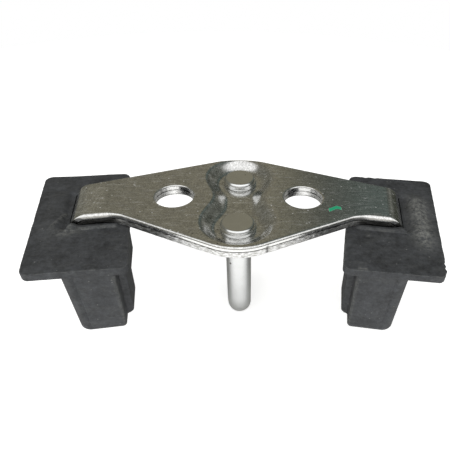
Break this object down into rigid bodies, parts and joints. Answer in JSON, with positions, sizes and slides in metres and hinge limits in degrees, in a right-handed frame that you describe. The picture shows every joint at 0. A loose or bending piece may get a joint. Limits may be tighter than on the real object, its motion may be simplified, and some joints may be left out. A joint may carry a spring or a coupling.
{
  "type": "boot lid latch striker",
  "caption": "Pressed steel striker plate with a staked rod loop for a latch claw to catch, bolt holes through the plate and a rubber buffer block on each bent end.",
  "frame": {"origin": "midway between the two bolt holes, on the mounting face of the plate", "axes": "+X along the line of the bolt holes, +Y towards the plate's rear edge, +Z out of the mounting face, so that the loop and the buffers point along -Z"},
  "size_m": [0.1092, 0.0463, 0.036],
  "materials": {
    "plated_steel": "bright zinc plating over pressed sheet, lightly scratched, with bare bright cut edges",
    "rod_steel": "bright zinc plating over drawn round rod",
    "rubber": "moulded black rubber, matte, with dusty patches"
  },
  "bodies": {
    "root": {"striker_plate": "plated_steel", "striker_loop": "rod_steel", "left_buffer": "rubber", "right_buffer": "rubber"}
  },
  "joints": []
}
